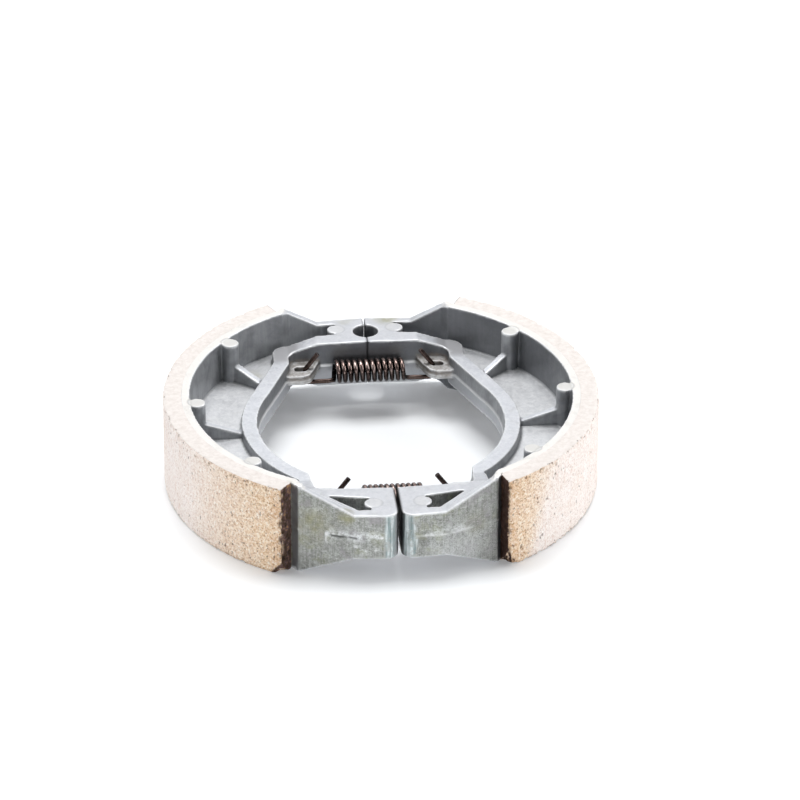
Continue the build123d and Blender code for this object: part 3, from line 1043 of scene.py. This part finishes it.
def over(tree, below, above, share):
    """Colour above laid over colour below by a share from 0 to 1."""
    node = add_node(tree, "ShaderNodeMix", {0: share, 6: below, 7: above}, data_type="RGBA")
    return node.outputs[2]


def painted(tree, name):
    """The number painted on the vertices under a name."""
    return add_node(tree, "ShaderNodeAttribute", attribute_name=name).outputs["Fac"]


print("noise scale for 1 mm:", scale_of(1.0))

# %% Patterns and tops of the casting
aluminium, tree = new_material("die_cast_aluminium")
where = add_node(tree, "ShaderNodeTexCoord").outputs["Object"]
patches = noise(tree, where, 5.0, detail=5.0, distortion=0.4)
mottle = noise(tree, where, 1.3, detail=6.0, roughness=0.65, distortion=0.8)
skin = noise(tree, where, 0.5, detail=3.0)
draw_marks = noise(tree, stretched(tree, where, 14.0), 0.7, detail=5.0, roughness=0.6)
speckle = noise(tree, where, 0.35, detail=4.0, roughness=0.7)

tops = colours(tree, mottle, (0.30, "#C8CBD1"), (0.55, "#D8DADF"), (0.8, "#E4E6E9"))
web_top = colours(tree, mottle, (0.32, "#D7D9DC"), (0.66, "#ECEDEF"))
tops = over(tree, tops, web_top, painted(tree, "web"))
# the rear rib's top is painted darker as shade, and the tops at 17.5 to 19.5 mm a little darker
tops = over(tree, tops, linear("#B2B2B5"), painted(tree, "darker_top"))
tops = over(tree, tops, linear("#EDEAE6"), painted(tree, "rim_top"))
tops = over(tree, tops, linear("#B4B7BC"), levels(tree, speckle, 0.56, 0.70, 0.0, 0.35))
print("patterns and tops:", len(tree.nodes), "nodes")

# %% Drawn walls and front walls
walls = colours(tree, draw_marks, (0.25, "#989A9D"), (0.50, "#A2A4A7"), (0.78, "#AFB1B3"))
walls = over(tree, walls, linear("#77797D"), levels(tree, patches, 0.45, 0.65, 0.0, 0.6))
# painted light on the lower half of the walls that face the hub
walls = over(tree, walls, linear("#B2B4B8"), painted(tree, "lit_lower_wall"))
# painted shade on the walls under the rim, on the wing and above the parting line towards the hub
walls = over(tree, walls, linear("#6C6E72"), painted(tree, "shaded_wall"))

front = colours(tree, mottle, (0.37, "#62645D"), (0.46, "#8A8C85"), (0.54, "#9C9E98"), (0.62, "#C6C8C5"))
fine_marks = noise(tree, stretched(tree, where, 20.0), 0.35, detail=3.0)
front = over(tree, front, colours(tree, fine_marks, (0.36, "#767873"), (0.64, "#B4B6B4")), 0.45)
front = over(tree, front, colours(tree, speckle, (0.38, "#60625B"), (0.62, "#CBCCCB")), 0.22)
scuffs = noise(tree, stretched(tree, where, 0.35), 1.0, detail=6.0, roughness=0.7, distortion=1.6)
front = over(tree, front, linear("#E2E4E3"), levels(tree, scuffs, 0.56, 0.66, 0.0, 0.70))
front = over(tree, front, linear("#5B5D56"), levels(tree, scuffs, 0.42, 0.33, 0.0, 0.60))
front = over(tree, front, linear("#A09AA2"), levels(tree, patches, 0.56, 0.66, 0.0, 0.45))
front = over(tree, front, linear("#8D906F"), levels(tree, patches, 0.44, 0.36, 0.0, 0.35))
scoured = product(tree, painted(tree, "scoured"), levels(tree, speckle, 0.40, 0.56, 0.15, 0.60))
front = over(tree, front, linear("#D2D4D5"), scoured)
walls = over(tree, walls, front, painted(tree, "outer_front"))
print("with walls:", len(tree.nodes), "nodes")

# %% [markdown]
# Marks lie over both skins: the parting line's painted highlight, the ground strips, stains, oil,
# bosses, the scar, worn edges with painted highlights, and painted shade in hollows with some grime.
# Each has its own colour, and some are broken up by one of the noises.

# %% Marks and surface of the casting
# pale tops over darker walls: partly their two skins, partly painted light on the tops and painted shade on
# the walls
colour = over(tree, tops, walls, painted(tree, "upright"))
colour = over(tree, colour, linear("#90918A"), levels(tree, patches, 0.55, 0.75, 0.0, 0.22))
# painted highlight on the parting line
colour = over(tree, colour, linear("#EDEEEF"), product(tree, painted(tree, "parting"), 0.75))
worn = colours(tree, draw_marks, (0.38, "#8A9999"), (0.50, "#B2BDBE"), (0.60, "#DBE2E2"))
MARKS = (
    ("ground", worn, (mottle, 0.62, 0.50, 0.35, 1.0)),
    ("stain", linear("#8F8A50"), (mottle, 0.35, 0.6, 0.5, 1.0)),
    ("oily", linear("#8A8178"), (mottle, 0.35, 0.65, 0.9, 0.3)),
    ("boss", linear("#DAD8D3"), 0.8),
    ("scar", linear("#E4E7E8"), (speckle, 0.38, 0.54, 0.2, 1.0)),
    # the rubbed edges are worn and painted bright as a highlight
    ("rubbed", linear("#F4F5F6"), 0.8),
    # the next mark is mostly painted shade in corners, gaps and grooves, with some grime
    ("grime_and_shade", linear("#262624"), 0.85),
)
for name, paint_colour, strength in MARKS:
    mask = painted(tree, name)
    share = levels(tree, *strength) if isinstance(strength, tuple) else strength
    colour = over(tree, colour, paint_colour, product(tree, mask, share))

rough = levels(tree, mottle, 0.3, 0.7, 0.40, 0.58)
relief = add_node(tree, "ShaderNodeBump", {"Height": draw_marks, "Distance": 0.05 * MM, "Strength": 0.35})
for height, depth, strength in ((skin, 0.05, 0.5), (mottle, 0.12, 0.4)):
    relief = add_node(tree, "ShaderNodeBump", {"Height": height, "Distance": depth * MM,
                                               "Strength": strength, "Normal": relief.outputs[0]})
rugged = product(tree, painted(tree, "scar"), 0.9)
relief = add_node(tree, "ShaderNodeBump", {"Height": speckle, "Distance": 0.25 * MM,
                                           "Strength": rugged, "Normal": relief.outputs[0]})
bare = levels(tree, painted(tree, "upright"), 0.0, 1.0, 0.50, 0.75)
metal = add_node(tree, "ShaderNodeBsdfPrincipled",
                 {"Base Color": colour, "Metallic": bare, "Roughness": rough,
                  "Normal": relief.outputs[0]})
add_node(tree, "ShaderNodeOutputMaterial", {"Surface": metal.outputs[0]})

for side, piece in castings.items():
    piece.data.materials.append(aluminium)
    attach(piece, side)
    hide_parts("shoe_" + side)
print("finish:", aluminium.name, "nodes:", len(tree.nodes))

# %% [markdown]
# ## Friction compound
# The lining is resin, mineral fibre and grit, pressed and cured. Its ground face is pale
# pinkish beige with dark and rusty grains, more tan towards the cam where it does most work. Part
# of that change is painted light: the part facing out to the side is painted paler, where the side
# lamps light it. The flat sides are nearly white, and the sawn ends are dark brown, the right one
# painted darker still as shade. It is dull all over.

# %% Painted masks of the linings
TORN_REACH = dict(left=0.4, right=0.9)
# the tan towards the cam is partly the compound's colour and partly painted light: the side facing out is
# painted paler
WORKED_FROM = dict(left=-18.0, right=-45.0)
WORKED_SLOPE = dict(left=0.0, right=12.0)
# painted shade on the sawn end of the right lining
END_SHADE = dict(left=0.0, right=0.85)
AMBER = dict(left=0.25, right=0.5)
DARK_CHIPS = ("left",)


def torn_mask(points, ground, side):
    """The gritty edges of the ground face: at the sawn end, at the bottom and in spots on top."""
    _, angle = around_drum(points)
    inside = from_end(points, side)
    reach = TORN_REACH[side] * (1 + 0.8 * cloud(points, 2.0, 41))
    top_edge = 0.9 * ramp(points[:, 2], 21.6, 22.8) * ramp(cloud(points, 0.8, 42), 0.22, 0.42)
    edges = ramp(points[:, 2], 0.9, 0.2) + top_edge * ramp(angle, 10, -30)
    torn = np.maximum(ramp(inside, reach, 0.2 * reach), 0.7 * edges) * ground
    return torn * ramp(cloud(points, 0.8, 43), -0.5, 0.3)


def paint_lining(piece, side):
    """Paints all masks of a lining on its vertices."""
    points, normals = points_and_normals(piece.data)
    _, angle = around_drum(points)
    ground, sawn = faces_of_lining(points, normals)
    if side in DARK_CHIPS:
        broken = ramp(chip_slope(points, side), CHIP[side] + 0.7, CHIP[side] + 0.2)
        sawn = np.maximum(sawn, broken)
    since = WORKED_FROM[side] + WORKED_SLOPE[side] * (points[:, 2] / SHOE_WIDTH - 0.5)
    near_end = AMBER[side] * ramp(from_end(points, side), 5.0, 1.0)
    masks = {
        "sawn": sawn,
        "shaded_end": sawn * END_SHADE[side],
        "ground": ground,
        "worked": ramp(angle, since, CAM_END + 3),
        "pores": ramp(-convexity(piece.data), 0.05, 0.22),
        "flat": ramp(np.abs(normals[:, 2]), 0.55, 0.85),
        "amber": near_end * (0.75 + 0.5 * cloud(points, 2.5, 44)) * ground,
        "torn": torn_mask(points, ground, side),
    }
    for name, values in masks.items():
        paint(piece.data, name, values)


for side, piece in linings.items():
    paint_lining(piece, side)
print("painted:", [layer.name for layer in linings["left"].data.attributes if layer.data_type == "FLOAT"])

# %% Patterns and ground face of the compound
compound, tree = new_material("moulded_friction_compound")
where = add_node(tree, "ShaderNodeTexCoord").outputs["Object"]
cloudy = noise(tree, where, 7.0, detail=4.0)
fibres = noise(tree, stretched(tree, where, 6.0), 0.8, detail=5.0, roughness=0.65)
grit = noise(tree, where, 0.55, detail=4.0, roughness=0.75)
clumps = noise(tree, where, 1.5, detail=6.0, roughness=0.7)

pale = colours(tree, cloudy, (0.35, "#F2E7E0"), (0.65, "#F8F0EC"))
tan = colours(tree, clumps, (0.34, "#D9B285"), (0.50, "#ECCFAA"), (0.66, "#F5E3CB"))
# pale to tan: partly the compound's colour, partly painted light on the part that faces out to the side
worked = product(tree, painted(tree, "worked"), levels(tree, cloudy, 0.3, 0.7, 0.75, 1.0))
colour = over(tree, pale, tan, worked)
colour = over(tree, colour, linear("#DDBDAA"), levels(tree, fibres, 0.52, 0.72, 0.0, 0.5))
coarse = levels(tree, painted(tree, "worked"), 0, 1, 0.32, 0.70)
colour = over(tree, colour, linear("#A5764F"), product(tree, levels(tree, grit, 0.48, 0.36), coarse))
dots = noise(tree, where, 0.42, detail=1.0)
colour = over(tree, colour, linear("#7A4E33"), product(tree, levels(tree, dots, 0.62, 0.70), coarse))
colour = over(tree, colour, linear("#FFFCF6"), product(tree, levels(tree, grit, 0.52, 0.64), 0.8))
rust = levels(tree, noise(tree, where, 0.8, detail=3.0, roughness=0.6), 0.60, 0.68)
rust = product(tree, rust, levels(tree, painted(tree, "worked"), 0, 1, 0.2, 0.6))
colour = over(tree, colour, linear("#B07A4C"), rust)
print("ground face:", len(tree.nodes), "nodes")

# %% [markdown]
# Single dark grains come from Voronoi cells of 1.2 mm. Each cell draws a lot from its random
# colour: most get a tiny grain, and the highest lots a larger one. The cells' coordinates are
# frayed by noise, so the grains are not round.

# %% Grains, ends and surface of the compound
FRAY = 0.6 * MM
frayed = add_node(tree, "ShaderNodeTexNoise", {"Vector": where, "Scale": scale_of(0.6), "Detail": 2.0})
frayed = add_node(tree, "ShaderNodeMix", {0: FRAY, 4: where, 5: frayed.outputs["Color"]},
                  data_type="VECTOR")
grains = add_node(tree, "ShaderNodeTexVoronoi", {"Vector": frayed.outputs[1], "Scale": scale_of(1.2)})
lot = add_node(tree, "ShaderNodeSeparateColor", {"Color": grains.outputs["Color"]})
size = levels(tree, lot.outputs[0], 0.91, 1.0, 0.06, 0.22)
speck = add_node(tree, "ShaderNodeMath", {0: grains.outputs["Distance"], 1: size}, operation="LESS_THAN")
colour = over(tree, colour, linear("#4F3628"), product(tree, speck.outputs[0], 0.75))
amber = product(tree, painted(tree, "amber"), levels(tree, clumps, 0.35, 0.60, 1.0, 0.35))
colour = over(tree, colour, linear("#C48A52"), amber)
edge_grit = over(tree, linear("#4E3828"), linear("#E2BE94"), levels(tree, grit, 0.44, 0.56))
colour = over(tree, colour, edge_grit, painted(tree, "torn"))
side_face = colours(tree, clumps, (0.3, "#DAD2CC"), (0.6, "#EBE5E1"))
colour = over(tree, colour, side_face, painted(tree, "flat"))
raw = colours(tree, clumps, (0.36, "#281B14"), (0.46, "#523E2C"), (0.54, "#5E4A50"), (0.62, "#A07C58"))
colour = over(tree, colour, linear("#5A3B28"), product(tree, painted(tree, "pores"), 0.8))
colour = over(tree, colour, raw, painted(tree, "sawn"))
# painted shade on the right lining's sawn end
colour = over(tree, colour, linear("#2C1508"), painted(tree, "shaded_end"))

height = add_node(tree, "ShaderNodeMath", {0: grit, 1: clumps}, operation="ADD").outputs[0]
relief = add_node(tree, "ShaderNodeBump", {"Height": height, "Distance": 0.10 * MM, "Strength": 0.6})
relief = add_node(tree, "ShaderNodeBump", {"Height": fibres, "Distance": 0.06 * MM, "Strength": 0.4,
                                           "Normal": relief.outputs[0]})
dull = add_node(tree, "ShaderNodeBsdfPrincipled",
                {"Base Color": colour, "Roughness": 0.82, "Normal": relief.outputs[0]})
dull.inputs["Specular IOR Level"].default_value = 0.3
add_node(tree, "ShaderNodeOutputMaterial", {"Surface": dull.outputs[0]})

for side, piece in linings.items():
    piece.data.materials.append(compound)
    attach(piece, side)
    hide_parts("lining_" + side)
print("finish:", compound.name, "nodes:", len(tree.nodes))

# %% [markdown]
# ## Spring steel
# The wire is oil-hardened spring steel. Its brown oxide is thin, so broad highlights run along
# each turn, and it has worn to bare grey where turns and hooks rub.

# %% Spring steel
steel, tree = new_material("oxidised_spring_steel")
where = add_node(tree, "ShaderNodeTexCoord").outputs["Object"]
film = noise(tree, where, 2.2, detail=5.0, roughness=0.6)
rubbed = noise(tree, where, 0.7, detail=4.0, roughness=0.65)
colour = colours(tree, film, (0.32, "#5A4A46"), (0.52, "#927E78"), (0.72, "#C0AEA8"))
colour = over(tree, colour, linear("#C4B8B0"), levels(tree, rubbed, 0.58, 0.76, 0.0, 0.6))
colour = over(tree, colour, linear("#3B2F2A"), product(tree, painted(tree, "hook"), 0.85))
# painted shade between the turns, inside the coil and on its lower side
colour = over(tree, colour, linear("#0E0B0A"), painted(tree, "between"))
relief = add_node(tree, "ShaderNodeBump", {"Height": rubbed, "Distance": 0.03 * MM, "Strength": 0.4})
rough = levels(tree, film, 0.3, 0.7, 0.20, 0.34)
metal = add_node(tree, "ShaderNodeBsdfPrincipled",
                 {"Base Color": colour, "Metallic": 0.97, "Roughness": rough,
                  "Normal": relief.outputs[0]})
add_node(tree, "ShaderNodeOutputMaterial", {"Surface": metal.outputs[0]})
print("finish:", steel.name, "nodes:", len(tree.nodes))

# %% The two springs
def paint_wire(mesh, y, length):
    """Paints shade between a coil's turns, inside it and under its turns, and the darker hooks."""
    points, normals = points_and_normals(mesh)
    radial = np.stack([points[:, 1] - y, points[:, 2] - AXIS_HEIGHT], axis=1)
    radial /= np.maximum(np.linalg.norm(radial, axis=1), 0.01)[:, None]
    outward = (normals[:, 1:] * radial).sum(axis=1)
    in_coil = ramp(np.abs(points[:, 0]), length / 2 + 0.9, length / 2 + 0.3)
    # painted shade: flanks that face the next turns, the inside, and the lower and downward sides of the
    # coil
    below = 0.8 * ramp(normals[:, 2], 0.55, 0.10)
    lower_half = ramp(points[:, 2], AXIS_HEIGHT + 1.5, AXIS_HEIGHT)
    flanks = ramp(outward, 0.85, 0.50) + ramp(outward, 0.98, 0.86) * lower_half
    paint(mesh, "between", in_coil * np.maximum(flanks, below))
    paint(mesh, "hook", 1 - in_coil)


for name, sizes in SPRINGS.items():
    path = poly_curve("centre_line_" + name, wire_points(**sizes))
    wire = path.modifiers.new("wire", "NODES")
    wire.node_group = wire_nodes
    set_input(wire, "Wire radius", WIRE / 2 * MM)
    set_input(wire, "Section sides", SECTION_SIDES)
    set_input(wire, "Finish", steel)
    mesh = baked(path)
    bpy.data.objects.remove(path)
    paint_wire(mesh, sizes["y"], sizes["length"])
    spring = bpy.data.objects.new("return_spring_" + name, mesh)
    bpy.context.scene.collection.objects.link(spring)
    ends = [Vector((side * sizes["length"] / 2, sizes["y"], AXIS_HEIGHT)) * MM for side in (-1, 1)]
    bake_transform(spring, "left", "right", start=ends[0], end=ends[1])
    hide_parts("spring_" + name)
    print(spring.name, "faces:", len(mesh.polygons))
